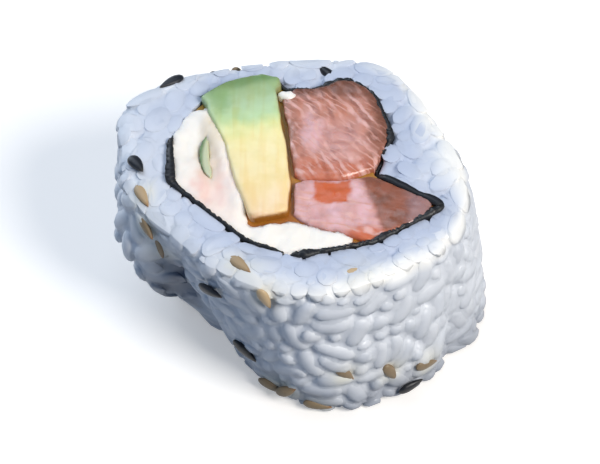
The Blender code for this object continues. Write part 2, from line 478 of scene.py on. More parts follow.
RICE_OUTSIDE = measure_wall("rice", outer=True)
# Hollows pressed into the side; the last number of each is how much painted shade darkens the rice there.
HOLLOWS = (
    Hollow(-152.9, 3.5, 11.5, 4.5, 1.9, 1.0),  # the crevice beside the hanging clump at the left
    Hollow(-157.0, 6.5, 8.3, 3.4, 0.0, 0.84),  # the clump's shaded underside
    Hollow(-165.0, 9.0, 2.0, 4.0, 1.4, 0.25),  # below the clump
    Hollow(173.5, 8.0, 21.0, 3.5, 0.9, 0.0),  # the rim above it
)
for hollow in HOLLOWS:
    hollow.press_into(RICE_OUTSIDE)
NORI_OUTSIDE = measure_wall("nori", outer=True, turns=480, levels=3)
NORI_INSIDE = measure_wall("nori", outer=False, turns=480, levels=3)
WRAP = search_tree(solid("nori"))
AVOCADO = search_tree(solid("avocado"))


# --- Materials ---


def label_of(name):
    """An input's label, from its name as a keyword."""
    return name.replace("_", " ").title().replace("Ior", "IOR")


def feed(tree, socket, value):
    """Feeds a socket a value, another socket, a node's first output, or the numbers painted under a name."""
    if isinstance(value, str):
        value = node(tree, "Attribute", attribute_name=value).outputs["Fac"]
    if isinstance(value, bpy.types.Node):
        value = value.outputs[0]
    if isinstance(value, bpy.types.NodeSocket):
        tree.links.new(value, socket)
    else:
        socket.default_value = (*value, 1.0) if socket.type == "RGBA" else value


def node(tree, kind, *ordered, **named):
    """Adds a shader node. What is given feeds its inputs, in order or by name, or is one of its settings."""
    made = tree.nodes.new("ShaderNode" + kind)
    inputs = dict(enumerate(ordered))
    for name, value in named.items():
        if hasattr(made, name) and label_of(name) not in made.inputs:
            setattr(made, name, value)
        else:
            inputs[label_of(name)] = value
    for key, value in inputs.items():
        feed(tree, made.inputs[key], value)
    return made


def new_material(name, **shader_inputs):
    """A material, its tree and its Principled BSDF, whose sockets hold what is the same all over."""
    material = bpy.data.materials.new(name)
    material.use_nodes = True
    shader = material.node_tree.nodes["Principled BSDF"]
    for label, value in shader_inputs.items():
        feed(material.node_tree, shader.inputs[label_of(label)], value)
    return material, material.node_tree, shader


def new_group(name, inputs, outputs):
    """A shader node group with inputs, given with their defaults, and outputs, given with their types."""
    group = bpy.data.node_groups.new(name, "ShaderNodeTree")
    for label, default in inputs.items():
        kind = "NodeSocketVector" if isinstance(default, tuple) else "NodeSocketFloat"
        group.interface.new_socket(label, in_out="INPUT", socket_type=kind).default_value = default
    for label, kind in outputs.items():
        group.interface.new_socket(label, in_out="OUTPUT", socket_type="NodeSocket" + kind)
    return group, group.nodes.new("NodeGroupInput").outputs, group.nodes.new("NodeGroupOutput").inputs


def moist_surface_group():
    """Unevenness that all the moist food shares: how wet it is in patches, and a fine relief."""
    group, given, made = new_group(
        "moist_surface",
        {"Patch Scale": 300.0, "Relief Scale": 900.0, "Relief": 0.3, "Driest": 0.55, "Wettest": 0.3},
        {"Roughness": "Float", "Normal": "Vector", "Mask": "Float"},
    )
    place = node(group, "TexCoord").outputs["Object"]
    patches = node(group, "TexNoise", vector=place, scale=given["Patch Scale"], detail=2.0)
    grain = node(group, "TexNoise", vector=place, scale=given["Relief Scale"], detail=4.0, roughness=0.6)
    wetness = node(group, "MapRange", value=patches, from_min=0.35, from_max=0.65)
    feed(group, wetness.inputs["To Min"], given["Driest"])
    feed(group, wetness.inputs["To Max"], given["Wettest"])
    relief = node(group, "Bump", height=grain, strength=given["Relief"], distance=0.1 * MM)
    for label, value in (("Roughness", wetness), ("Normal", relief), ("Mask", patches)):
        feed(group, made[label], value)
    return group


def fat_lines_group():
    """Thin pale lines that run along X through the fish, bent, broken and uneven in strength."""
    group, given, made = new_group(
        "fat_lines",
        {"Place": (0.0, 0.0, 0.0), "Spacing": 1.1, "Bend": 2.2, "Thin": 0.75},
        {"Lines": "Float"},
    )
    bend = node(group, "Math", given["Bend"], 2 * MM, operation="MULTIPLY")
    bends = node(group, "TexNoise", vector=given["Place"], scale=150.0, detail=2.0)
    wisps = node(group, "TexNoise", vector=given["Place"], scale=900.0, detail=3.0, roughness=0.65)
    place = given["Place"]
    for texture, reach in ((bends, bend), (wisps, 0.5 * MM)):
        colour = texture.outputs["Color"]
        centred = node(group, "VectorMath", colour, (0.5, 0.5, 0.5), operation="SUBTRACT")
        moved = node(group, "VectorMath", centred, operation="SCALE", scale=reach)
        place = node(group, "VectorMath", place, moved, operation="ADD")
    # The wave repeats each tenth of a turn.
    pitch = node(group, "Math", math.tau / 20 / MM, given["Spacing"], operation="DIVIDE")
    waves = node(
        group, "TexWave", wave_type="BANDS", bands_direction="Y", vector=place, scale=pitch, distortion=0.0
    )
    crest = node(group, "MapRange", interpolation_type="SMOOTHSTEP", value=waves.outputs["Fac"], from_max=1.0)
    feed(group, crest.inputs["From Min"], given["Thin"])
    breaks = node(group, "TexNoise", vector=given["Place"], scale=420.0, detail=2.0)
    strength = node(group, "MapRange", value=breaks, from_min=0.40, from_max=0.62)
    feed(group, made["Lines"], node(group, "Math", crest, strength, operation="MULTIPLY"))
    return group


def fat_lines(tree, heading, **values):
    """The mask of fat lines that run along a heading, with the group's values set by name."""
    place = node(tree, "TexCoord").outputs["Object"]
    turned = node(tree, "Mapping", vector=place, rotation=(0, 0, -heading))
    group = bpy.data.node_groups.get("fat_lines") or fat_lines_group()
    return node(tree, "Group", node_tree=group, place=turned, **values)


class MoistLook:
    """The material of a moist food while it is made, with the mask of its wetter patches."""

    def __init__(self, name, surface, soak=(0.0, 1.0), tint=(1.0, 0.2, 0.1), **sockets):
        """The surface is its patch scale, relief scale, relief, and roughness where driest and wettest.
        Light soaks in by a share and a depth in millimetres, and spreads by the tint."""
        weight, depth = soak
        sockets.update(subsurface_weight=weight, subsurface_scale=depth * MM, subsurface_radius=tint)
        self.material, self.tree, self.shader = new_material(name, **sockets)
        group = bpy.data.node_groups.get("moist_surface") or moist_surface_group()
        moist = node(self.tree, "Group", *surface, node_tree=group)
        self.mask = moist.outputs["Mask"]
        for label in ("Roughness", "Normal"):
            feed(self.tree, self.shader.inputs[label], moist.outputs[label])

    def mix(self, factor, first, second, kind="MIX"):
        """Mixes two colours."""
        made = node(self.tree, "Mix", data_type="RGBA", blend_type=kind)
        for place, value in ((0, factor), (6, first), (7, second)):
            feed(self.tree, made.inputs[place], value)
        return made.outputs[2]

    def ramp(self, factor, *stops, kind="EASE"):
        """A colour ramp over (position, colour) stops."""
        made = node(self.tree, "ValToRGB", factor)
        made.color_ramp.interpolation = kind
        elements = made.color_ramp.elements
        while len(elements) < len(stops):
            elements.new(0.5)
        for element, (position, colour) in zip(elements, stops):
            element.position = position
            element.color = (*colour, 1.0)
        return made.outputs[0]

    def lay(self, colour, **painted):
        """Lays painted layers' colours over a colour, one after the other."""
        for name, over in painted.items():
            colour = self.mix(name, colour, over)
        return colour

    def finished(self, colour, **painted):
        """The material, with painted layers laid over its colour."""
        feed(self.tree, self.shader.inputs["Base Color"], self.lay(colour, **painted))
        return self.material


WHITE = (1.0, 1.0, 1.0)


def rice_material(rice):
    """White grains, some clearer than others, with light that soaks in."""
    look = MoistLook("rice", (500, 1300, 0.22, 0.55, 0.33), (0.12, 1.2), (1.0, 0.95, 0.9))
    grain = look.ramp("tone", (0.0, rice.glassy), (0.55, rice.colour), (1.0, (0.80, 0.81, 0.83)))
    clouded = look.mix(look.mask, grain, rice.colour)
    # Layers: painted shade with random marks, wet rice with painted shade, a dry rim with painted light, and
    # oil stains.
    damp, dry, oil = (0.09, 0.115, 0.172), (1.0, 0.97, 0.90), (0.90, 0.80, 0.46)
    return look.finished(clouded, damp=damp, wet=rice.wet, dry=dry, oil=oil)


def nori_material(nori):
    """Near-black pressed seaweed, green and brown by patches, with a papery crinkle."""
    look = MoistLook("nori", (350, 1500, 0.8, 0.6, 0.35), specular_ior_level=0.45)
    stops = (0.3, nori.colour), (0.55, (0.014, 0.015, 0.016)), (0.75, (0.028, 0.018, 0.014))
    return look.finished(look.ramp(look.mask, *stops))


def avocado_material(filling):
    """Green under the skin, then mint, then pale yellow, with painted brown shade down its sides and in its
    gaps.
    """
    look = MoistLook("avocado", (450, 900, 0.25, 0.5, 0.3), (0.25, 1.5), (1.0, 0.9, 0.45))
    stops = (
        (0.0, (0.20, 0.33, 0.13)),
        (0.07, filling.avocado_skin),
        (0.15, (0.48, 0.63, 0.37)),
        (0.26, (0.56, 0.73, 0.40)),
        (0.34, (0.83, 0.84, 0.41)),
        (0.42, (0.98, 0.86, 0.44)),
        (0.52, (1.0, 0.84, 0.46)),
        (0.75, filling.avocado_flesh),
        (1.0, (1.0, 0.74, 0.50)),
    )
    flesh = look.ramp("ripeness", *stops, kind="LINEAR")
    streaks = look.ramp("streak", (0.4, WHITE), (0.85, (0.97, 0.91, 0.78)))
    clouds = look.ramp(look.mask, (0.35, (0.95, 0.94, 0.84)), (0.6, WHITE))
    streaked = look.mix(1.0, look.mix(1.0, flesh, streaks, "MULTIPLY"), clouds, "MULTIPLY")
    return look.finished(streaked, bruise=(0.26, 0.42, 0.16), stain=(0.34, 0.125, 0.012))


def salmon_material(filling, name, heading, spacing, deep):
    """Raw salmon: pink with pale lines of fat, orange where it is leanest and brown towards its skin."""
    look = MoistLook(name, (450, 1400, 0.35, 0.42, 0.22), (0.3, 1.4), (1.0, 0.45, 0.3))
    mottled = look.mix(look.mask, filling.salmon_lean, [part * 0.82 for part in filling.salmon_lean])
    sinews = fat_lines(look.tree, heading - 0.25, spacing=spacing * 1.4, bend=3.0, thin=0.45)
    streaked = look.mix(sinews, mottled, deep)
    orange, brown = (0.62, 0.135, 0.045), (0.19, 0.075, 0.045)
    pale = look.lay(streaked, orange=orange, brown=brown, pale=filling.salmon_fat)
    coarse = fat_lines(look.tree, heading, spacing=spacing, bend=2.6, thin=0.55)
    fine = fat_lines(look.tree, heading + 0.35, spacing=spacing * 0.55, bend=1.8, thin=0.70)
    wispy = look.mix(fine, look.mix(coarse, pale, (0.77, 0.44, 0.38)), (0.70, 0.36, 0.29))
    return look.finished(look.mix("plain", wispy, pale))


def cream_material(filling):
    """Cream cheese: white, beige where it is thin over the onion, and pink where the fish has stained it."""
    look = MoistLook("cream_cheese", (300, 800, 0.3, 0.5, 0.3), (0.3, 1.5), (1.0, 0.85, 0.7))
    return look.finished(filling.cream, beige=(0.74, 0.60, 0.40), pink=(0.92, 0.60, 0.50))


def onion_material(filling):
    """Spring onion: dark green at its edge and pale green inside."""
    look = MoistLook("spring_onion", (900, 2000, 0.3, 0.5, 0.3), (0.15, 0.8))
    leaf = look.ramp(look.mask, (0.35, filling.onion), (0.6, (0.15, 0.25, 0.08)))
    return look.finished(leaf, inside=(0.62, 0.64, 0.42))


def gap_shade_material():
    """Painted shade for the crevices between the strips: olive at the back and orange-brown at the front."""
    look = MoistLook("juices", (300, 900, 0.4, 0.5, 0.25), (0.2, 1.0))
    place = node(look.tree, "SeparateXYZ", node(look.tree, "TexCoord").outputs["Object"])
    back = node(look.tree, "MapRange", value=place.outputs["Y"], from_min=-8 * MM, from_max=10 * MM)
    front, middle, olive = (0.40, 0.11, 0.006), (0.58, 0.26, 0.04), (0.32, 0.20, 0.005)
    soaked = look.ramp(back, (0.1, front), (0.5, middle), (0.9, olive))
    return look.finished(look.mix(look.mask, soaked, (0.32, 0.14, 0.012)))


def seed_material(name, colour, tip, shine):
    """Sesame: one colour that shifts from seed to seed and towards the seed's tip."""
    look = MoistLook(name, (600, 2500, 0.3, shine + 0.15, shine))
    dark, light = ([part * share for part in colour] for share in (0.5, 1.3))
    return look.finished(look.ramp("tone", (0.0, dark), (1.0, light)), tip=tip)


# --- The wrap's cut edge ---

# Round the upper cut face: direction in degrees, the wrap's thickness there and how far it stands out of the
# cut, both in millimetres. Where it is sunk, rice and filling close over it.
NORI_EDGE = (
    ((-23.5, 0.80, 0.10), (-21.4, 0.95, 0.10), (-20.0, 0.55, 0.00), (-17.0, 0.85, 0.10), (-13.4, 0.70, 0.00))
    + ((-8.0, 0.30, -1.30), (7.0, 0.30, -1.30), (11.4, 0.50, 0.05), (15.0, 0.35, -0.60), (19.0, 0.50, -0.10))
    + ((23.4, 0.85, 0.10), (38.0, 0.60, 0.05), (53.5, 0.50, 0.05), (70.0, 0.50, 0.05), (76.0, 0.80, 0.10))
    + ((85.0, 0.50, 0.00), (95.0, 0.40, 0.00), (103.0, 0.30, -0.20), (107.0, 0.30, -1.30))
    + ((152.0, 0.30, -1.30), (162.0, 0.35, -0.70), (166.4, 0.45, 0.00), (172.0, 0.80, 0.10))
    + ((179.0, 0.90, 0.15), (188.0, 1.25, 0.20), (193.0, 0.70, 0.10), (200.0, 0.36, 0.00))
    + ((222.0, 0.28, 0.00), (239.0, 0.30, 0.00), (254.0, 0.30, -0.05), (262.0, 0.30, -0.55))
    + ((266.0, 0.60, 0.05), (271.0, 1.10, 0.15), (275.0, 0.60, 0.10), (282.0, 0.44, 0.05))
    + ((300.0, 0.40, 0.05), (309.0, 0.75, 0.10), (317.0, 0.36, 0.00))
    + ((325.0, 0.40, 0.00), (330.0, 0.85, 0.10))
)
EDGE_DIRECTIONS, EDGE_THICKNESSES, EDGE_RISES = np.array(NORI_EDGE).T
SUNK_DEPTH = 1.4 * MM  # how far down rice and filling close over a sunk edge


def nori_edge(angle):
    """Thickness and rise of the wrap's edge at an angle."""
    turns = np.radians(EDGE_DIRECTIONS)
    rows = (EDGE_THICKNESSES, EDGE_RISES)
    return [np.interp(angle, turns, row * MM, period=math.tau) for row in rows]


def closed_over(angle, height):
    """1 where rice and filling close over the sunk wrap, and 0 where it parts them."""
    sunk = smoothstep(-0.1 * MM, -0.4 * MM, nori_edge(angle)[1])
    return sunk * smoothstep(TOP - SUNK_DEPTH, TOP - SUNK_DEPTH / 2, height)


def rice_hole(angle, height):
    """The radius where the rice ends inwards: at the wrap, or halfway over it."""
    outer, inner = NORI_OUTSIDE.at(angle, height), NORI_INSIDE.at(angle, height)
    return outer - closed_over(angle, height) * (outer - inner) * 0.6


# --- Rice ---

GRAIN_MESH = (10, 8)  # faces round a grain and along it
SQUEEZE = 0.94  # how close grains are pressed, as a share of their width
NEIGHBOURS = 2.6  # balls nearer than so many radii are watched for overlaps
PUSH_APART = 0.25  # the share of an overlap that a round of packing undoes
PUSH_IN = 0.6  # the same at the walls
SEARCH_EVERY = 6  # rounds of packing between two searches for neighbours
LIT_RIM_DIRECTION = math.radians(-22)  # the rim is painted whiter on this side, dry and lit by the key light
SOFT_DIRECTION = math.radians(-140)  # the upper rim is rounder on this side
OIL_SPREAD = 1.8 * MM  # how far a toasted seed stains the rice
CORE_HEIGHTS = (1.0 * MM, TOP - 0.9 * MM)  # where the plain core ends below and above
CORE_TONE = 0.45  # the core's place between clear and white grains
RIM_SPAN = 2.0 * MM  # how far from a cut face the side starts to round over
SETTLE_SPAN = 3 * MM  # how far from a cut face grains still follow its unevenness
OVERHANG = 2.2 * MM  # how far beyond the cut faces grains are packed, to be cut through
CUTS = ((TOP - 0.08 * MM, 1), (0.05 * MM, -1))  # heights of the cuts, and the side that falls away
LAYER = 2.6 * MM  # grains whose middle is this near to a cut face make its piece
SHELL = 2.8 * MM  # grains this near to the side make the side's piece, and the core fills the rest
CORE_DETAIL = 0.36 * MM  # the step of the core's mesh
# How a cut grain's edge is rounded.
SOFT_EDGE = {"affect": "EDGES", "offset_type": "OFFSET", "segments": 2, "profile": 0.5, "material": -1}


def scatter_grains(rice, rng):
    """Middles and directions of loose grains anywhere in the ring, more of them where it is thicker."""
    angles = np.linspace(0, math.tau, 360, endpoint=False)
    room = RICE_OUTSIDE.at(angles, TOP / 2) ** 2 - NORI_OUTSIDE.at(angles, TOP / 2) ** 2
    angle = rng.choice(angles, rice.count, p=room / room.sum()) + rng.uniform(0, math.tau / 360, rice.count)
    height = rng.uniform(-OVERHANG, TOP + OVERHANG, rice.count)
    inner, outer = NORI_OUTSIDE.at(angle, height), RICE_OUTSIDE.at(angle, height)
    radius = np.sqrt(inner**2 + (outer**2 - inner**2) * rng.uniform(0, 1, rice.count))
    return from_polar(angle, radius, height), unit(rng.normal(size=(rice.count, 3)))


def wall_push(balls, radius):
    """How far balls must move to lie between the ring's walls and the overhangs."""
    angle, distance, height = to_polar(balls)
    out = np.stack([np.cos(angle), np.sin(angle)], -1)
    too_far = np.maximum(distance + radius - RICE_OUTSIDE.at(angle, height), 0)
    too_near = np.maximum(rice_hole(angle, height) + radius * 0.7 - distance, 0)
    push = np.zeros_like(balls)
    push[:, :2] = out * (too_near - too_far)[:, None]
    push[:, 2] = np.maximum(-OVERHANG - height, 0) - np.maximum(height - TOP - OVERHANG, 0)
    return push


def pack_grains(rice, rng, rounds=70):
    """Pushes scattered grains apart, each as a row of three balls, until they hardly overlap."""
    middles, directions = scatter_grains(rice, rng)
    ball = (rice.width + rice.thickness) / 4 * SQUEEZE
    reach = rice.length / 2 - ball
    offsets = np.array([-reach, 0, reach])
    owner = np.repeat(np.arange(rice.count), 3)
    for turn in range(rounds):
        balls = (middles[:, None] + directions[:, None] * offsets[None, :, None]).reshape(-1, 3)
        if turn % SEARCH_EVERY == 0:
            squares = (balls**2).sum(1)
            apart = squares[:, None] + squares[None] - 2 * balls @ balls.T
            first, second = np.nonzero((apart < (NEIGHBOURS * ball) ** 2) & (owner[:, None] != owner))
        gap = balls[first] - balls[second]
        distance = np.linalg.norm(gap, axis=1) + 1e-9
        overlap = np.maximum(2 * ball - distance, 0)
        push = np.zeros_like(balls)
        np.add.at(push, first, gap * (overlap / distance * PUSH_APART)[:, None])
        push = (push + wall_push(balls, ball) * PUSH_IN).reshape(-1, 3, 3)
        middles += push.mean(1)
        directions = unit(directions + (push[:, 2] - push[:, 0]) / (2 * reach))
    return middles, directions


def many_balls(count, turns, rings):
    """A mesh of so many equal balls of radius 1, and the x, y and z of their points, a row for each ball."""
    ball = bmesh.new()
    bmesh.ops.create_uvsphere(ball, u_segments=turns, v_segments=rings, radius=1)
    one = to_mesh(ball, "ball")
    mesh = to_mesh(gathered(*[one] * count), "balls")
    bpy.data.meshes.remove(one)
    return mesh, places_of(mesh).reshape(count, -1, 3).transpose(2, 0, 1)


def grain_frames(middles, along, rng):
    """Width, thickness and length directions of grains, whose flat sides face the nearest outer surface."""
    angle, _, height = to_polar(middles)
    out = np.stack([np.cos(angle), np.sin(angle), np.zeros(len(angle))], -1)
    out[(height > TOP - MM) | (height < MM)] = (0, 0, 1)
    out += rng.normal(0, 0.3, out.shape)
    thin = unit(out - along * (out * along).sum(1)[:, None])
    return np.stack([np.cross(thin, along), thin, along], 1)


def rim_softness(angle, height):
    """How many times rounder than elsewhere the rim is."""
    towards = 0.5 + 0.5 * np.cos(angle - SOFT_DIRECTION)
    return 1 + 0.9 * smoothstep(0.5, 1.0, towards) * smoothstep(TOP / 2, TOP * 0.7, height)


def press_to_walls(places, rice):
    """Presses grains flat where the mat and the nori do."""
    angle, radius, height = to_polar(places)
    softness = 0.7 + 0.3 * rim_softness(angle, height)
    to_rim = np.clip(1 - np.minimum(height * 2, (TOP - height) / softness) / RIM_SPAN, 0, 1)
    to_rim[height < MM] *= 0.5
    rounding = rice.edge_rounding * softness * (1 - np.sqrt(1 - 0.96 * to_rim**2))
    outside = RICE_OUTSIDE.at(angle, height) - rice.give_to_mat / 2 - rounding
    inside = rice_hole(angle, height) + 0.1 * MM
    radius = outside + soft_limit(radius - outside, rice.give_to_mat * (1 - 0.6 * to_rim))
    radius = inside - soft_limit(inside - radius, 0.15 * MM)
    return from_polar(angle, radius, height)


def slice_grains(mesh, rice):
    """Cuts grains through at the two cut faces, and closes them with flat ends whose edges are soft."""
    builder = gathered(mesh)
    for height, normal in CUTS:
        cut = bmesh.ops.bisect_plane(
            builder,
            geom=builder.verts[:] + builder.edges[:] + builder.faces[:],
            plane_co=(0, 0, height),
            plane_no=(0, 0, normal),
            clear_outer=True,
        )["geom_cut"]
        rims = [item for item in cut if isinstance(item, bmesh.types.BMEdge)]
        bmesh.ops.holes_fill(builder, edges=rims, sides=0)
        bmesh.ops.bevel(
            builder,
            geom=[edge for edge in rims if edge.is_valid],
            offset=rice.cut_softness,
            clamp_overlap=True,
            **SOFT_EDGE,
        )
    builder.to_mesh(mesh)
    builder.free()


def settle_rims(mesh, rice):
    """Rounds the rims over towards the side, waves the cut faces, and leaves each grain at its level."""
    places = places_of(mesh)
    tone = read(mesh.attributes["tone"].data, "value", 1)[:, 0]
    angle, radius, height = to_polar(places)
    softness = rim_softness(angle, height)
    inwards = (radius - RICE_OUTSIDE.at(angle, height)) / softness
    to_side = smoothstep(-2.2 * MM, 0.3 * MM, inwards) ** 2
    near_top = smoothstep(TOP - SETTLE_SPAN, TOP, height)
    near_foot = smoothstep(SETTLE_SPAN, 0, height)
    step = rice.cut_step * (tone * 37 % 1)
    wave = rice.cut_step * (1 + ripple(places * (1, 1, 0), 4, 17, 2))
    drop = rice.edge_rounding * softness * to_side + step + wave
    places[:, 2] += drop * (0.6 * near_foot - near_top)
    put_places(mesh, places)


def oil_stains(places):
    """Where the toasted seeds' oil stains the rice."""
    lying = [(kind, direction, level * MM, 0.0) for kind, direction, level, _, _ in SIDE_SEEDS]
    lying += [(kind, direction, TOP, inset * MM) for kind, direction, inset, _, _ in FACE_SEEDS]
    oil = np.zeros(len(places))
    for kind, direction, level, inset in lying:
        if kind == "toasted":
            angle = math.radians(direction)
            middle = from_polar(angle, RICE_OUTSIDE.at(angle, level) - inset, level)
            spread = np.linalg.norm(places - middle, axis=1)
            oil = np.maximum(oil, np.exp(-((spread / OIL_SPREAD) ** 2)))
    return oil


def paint_rice(mesh):
    """Stores painted shade in the hollows and at the foot, wet rice by the filling with painted shade, a dry
    rim with painted light, and oil stains.
    """
    places = places_of(mesh)
    angle, radius, height = to_polar(places)
    inside, outside = NORI_OUTSIDE.at(angle, height), RICE_OUTSIDE.at(angle, height)
    across = (radius - inside) / (outside - inside)
    at_cut = smoothstep(TOP - 2.2 * MM, TOP - 0.8 * MM, height)
    patches = ripple(places, 4, 21, 2)
    marks = smoothstep(0.35, 0.7, ripple(places, 1.4, 23, 2))
    # Darker, bluer rice by the wrap on the cut face: partly wet rice, partly painted shade.
    wet = at_cut * smoothstep(0.95, 0.25, across + 0.25 * patches)
    at_left = np.exp(-(((np.abs(angle) - math.radians(175)) / 0.45) ** 2))
    # Painted light: the rim is whiter on the side that faces the key light, as well as dry.
    to_light = smoothstep(0.3, 0.87, 0.5 + 0.5 * np.cos(angle - LIT_RIM_DIRECTION))
    dry = at_cut * smoothstep(0.55, 0.95, across + 0.2 * patches) * to_light
    # Painted shade: the rice is darker in the hollows and towards the foot, with some random marks.
    in_hollow = np.maximum.reduce([hollow.shade * hollow.share(angle, height) for hollow in HOLLOWS])
    near_foot = smoothstep(7 * MM, 0, height + 2 * MM * patches)
    damp = np.maximum(in_hollow, 0.5 * near_foot + 0.16 * marks)
    oil = oil_stains(places) * np.clip(0.32 + 0.3 * patches, 0, 1)
    paint(mesh, damp=damp, wet=wet * (0.78 - 0.45 * at_left), dry=dry, oil=oil)


def build_grains(rice, name, middles, along, material, rng):
    """One piece of grains: balls drawn out, blunt at the ends, tapered, bent, placed, pressed and cut."""
    count = len(middles)
    mesh, (x, y, z) = many_balls(count, *GRAIN_MESH)
    size = np.array([rice.width, rice.thickness, rice.length]) / 2 * rng.normal(1, 0.06, (count, 3))
    taper, bend = rng.normal(0, 0.08, (count, 1)), rng.normal(0, 0.22 * MM, (count, 1))
    plump = (1 + 0.3 * z * z) * (1 + taper * z)
    local = np.stack([x * plump, y * plump, z], -1) * size[:, None]
    local[..., 0] += bend * z * z
    placed = local @ grain_frames(middles, along, rng) + middles[:, None]
    put_places(mesh, press_to_walls(placed.reshape(-1, 3), rice))
    paint(mesh, tone=np.repeat(rng.beta(2.2, 1.6, count), x.shape[1]))
    slice_grains(mesh, rice)
    settle_rims(mesh, rice)
    paint_rice(mesh)
    return add_piece(mesh, name, material)


def core_ring(rice):
    """A plain ring under the grains: a section swept round the slice."""
    low, high = CORE_HEIGHTS
    section = [(1.0, h) for h in np.linspace(low, high, 12)] + [(0.0, h) for h in np.linspace(high, low, 4)]
    builder, loops = tube(120, len(section))
    bmesh.ops.bridge_loops(builder, edges=loops[0][1] + loops[-1][1])
    for (points, _), (across, height) in zip(loops, section):
        angles = angles_of(points)
        shoulder = (rim_softness(angles, height) - 1) * smoothstep(TOP - 3.5 * MM, high, height)
        outside = RICE_OUTSIDE.at(angles, height) - rice.core_depth * (1 + 1.2 * shoulder)
        inside = NORI_OUTSIDE.at(angles, height)
        put_points(points, from_polar(angles, inside + (outside - inside) * across, height))
    bmesh.ops.recalc_face_normals(builder, faces=builder.faces)
    return builder


def largest_island(builder):
    """Deletes all but the largest connected part of a bmesh."""
    left = set(builder.verts)
    islands = []
    while left:
        island = {left.pop()}
        front = island
        while front:
            front = {edge.other_vert(vertex) for vertex in front for edge in vertex.link_edges} & left
            left -= front
            island |= front
        islands.append(island)
    keep = max(islands, key=len)
    loose = [vertex for vertex in builder.verts if vertex not in keep]
    bmesh.ops.delete(builder, geom=loose, context="VERTS")


def build_core(rice, grain_pieces, material):
    """The smaller core: the ring and all grains melted together, which fills the crevices."""
    builder = core_ring(rice)
    for piece in grain_pieces:
        builder.from_mesh(piece.data)
    fused = remeshed(to_mesh(builder, "rice_lump"), CORE_DETAIL, rice.stickiness)
    melted = gathered(fused)
    bpy.data.meshes.remove(fused)
    largest_island(melted)
    mesh = to_mesh(melted, "rice_core")
    paint(mesh, tone=CORE_TONE)
    paint_rice(mesh)
    add_piece(mesh, "rice_core", material, "rice")


class URAMAKI_OT_rice(Operator):
    """Packs rice grains over a smaller core, in place of the plain ring."""

    bl_idname = "uramaki.rice"
    bl_label = "Rice"

    def execute(self, context):
        rice = context.scene.uramaki.rice
        rng = np.random.default_rng(rice.seed)
        middles, directions = pack_grains(rice, rng)
        angle, radius, height = to_polar(middles)
        top = height > TOP - LAYER
        foot = height < LAYER
        side = (radius > RICE_OUTSIDE.at(angle, height) - SHELL) & ~top & ~foot
        material = rice_material(rice)
        pieces = [
            build_grains(rice, "rice_grains_" + name, middles[mask], directions[mask], material, rng)
            for name, mask in (("top", top), ("side", side), ("foot", foot))
        ]
        build_core(rice, pieces, material)
        return {"FINISHED"}


# --- Nori ---

NORI_TURNS = 640  # points round the wrap
NORI_BEND = 3 * MM  # how far below the cut the wrap starts to follow its edge


def build_nori(nori, material):
    """The wrap: a closed band that stands on its middle line, with a ragged edge and an uneven thickness."""
    heights = np.concatenate([np.linspace(0.3 * MM, TOP - NORI_BEND, 6), np.linspace(TOP - 2.4 * MM, TOP, 7)])
    builder, loops = tube(NORI_TURNS, len(heights))
    for (points, _), height in zip(loops, heights):
        angles = angles_of(points)
        line = np.stack([np.cos(angles), np.sin(angles), np.full(len(angles), height / TOP)], -1)
        waver = ripple(line, 70, seed=5) * nori.raggedness
        ragged = ripple(line, 35, seed=9) * nori.raggedness * 1.2
        radius = (NORI_INSIDE.at(angles, height) + NORI_OUTSIDE.at(angles, height)) / 2 + waver
        rise = nori_edge(angles)[1] + ragged + 0.05 * MM
        level = height + rise * smoothstep(TOP - NORI_BEND, TOP, height)
        put_points(points, from_polar(angles, radius, level))
    bmesh.ops.recalc_face_normals(builder, faces=builder.faces)
    piece = add_piece(to_mesh(builder, "nori_wrap"), "nori_wrap", material, "nori")
    thickness, _ = nori_edge(to_polar(places_of(piece.data))[0])
    thickest = max(EDGE_THICKNESSES) * MM
    group = piece.vertex_groups.new(name="thickness")
    for index, share in enumerate(thickness / thickest):
        group.add([index], share, "REPLACE")
    layer = piece.modifiers.new("layer", "SOLIDIFY")
    layer.thickness = thickest
    layer.offset = 0
    layer.vertex_group = group.name


class URAMAKI_OT_nori(Operator):
    """Makes the ragged wrap of nori."""

    bl_idname = "uramaki.nori"
    bl_label = "Nori"

    def execute(self, context):
        nori = context.scene.uramaki.nori
        build_nori(nori, nori_material(nori))
        return {"FINISHED"}


# --- Filling ---

WRAP_REACH = 1.2 * MM  # filling this near to the wrap closes up to it
BESIDE_REACH = 2.4 * MM  # filling this near to the avocado closes up to it
BED_HEIGHTS = (0.8 * MM, TOP - 0.55 * MM)  # what fills the crevices ends here below and above
ONION_BOW = 0.5  # how many millimetres the onion's middle stands left of its ends
GRAIN_OF_FISH = np.diag((0.3, 1.0, 0.2))  # squeezes the relief into ridges
# Dabs of cream cheese: name, the node they lie by, and in millimetres their shift from its left back corner
# and their half sizes.
DABS = (
    ("cream_dab_right", "salmon_back", (-0.4, -1.8, -0.15), (1.15, 0.75, 0.6)),
    ("cream_dab_left", "avocado", (0.8, -5.0, -0.75), (1.4, 1.3, 0.7)),
)


def fine_copy(name, detail):
    """A finely and evenly meshed copy of a CAD node, with the soft corners that the new mesh gives it."""
    builder = gathered(solid(name))
    bmesh.ops.remove_doubles(builder, verts=builder.verts, dist=0.001 * MM)
    return remeshed(to_mesh(builder, name + "_copy"), detail * MM, smoothing=2)


def nearest_on(tree, places, ceiling=TOP - 0.5 * MM):
    """The nearest places on a surface, and their distances, from places held under a ceiling."""
    hits = [tree.find_nearest(Vector(place)) for place in np.minimum(places, (1, 1, ceiling))]
    return np.array([hit[0] for hit in hits]), np.array([hit[3] for hit in hits])


def close_to(tree, places, normals, reach, deeper):
    """How far level to move filling so that it meets a surface, and a weight for where it should."""
    towards = (nearest_on(tree, places)[0] - places)[:, :2]
    distance = np.linalg.norm(towards, axis=1) + 1e-9
    towards /= distance[:, None]
    facing = smoothstep(0.2, 0.6, (normals[:, :2] * towards).sum(1))
    return towards * (distance + deeper)[:, None], facing * smoothstep(reach, reach / 2, distance)


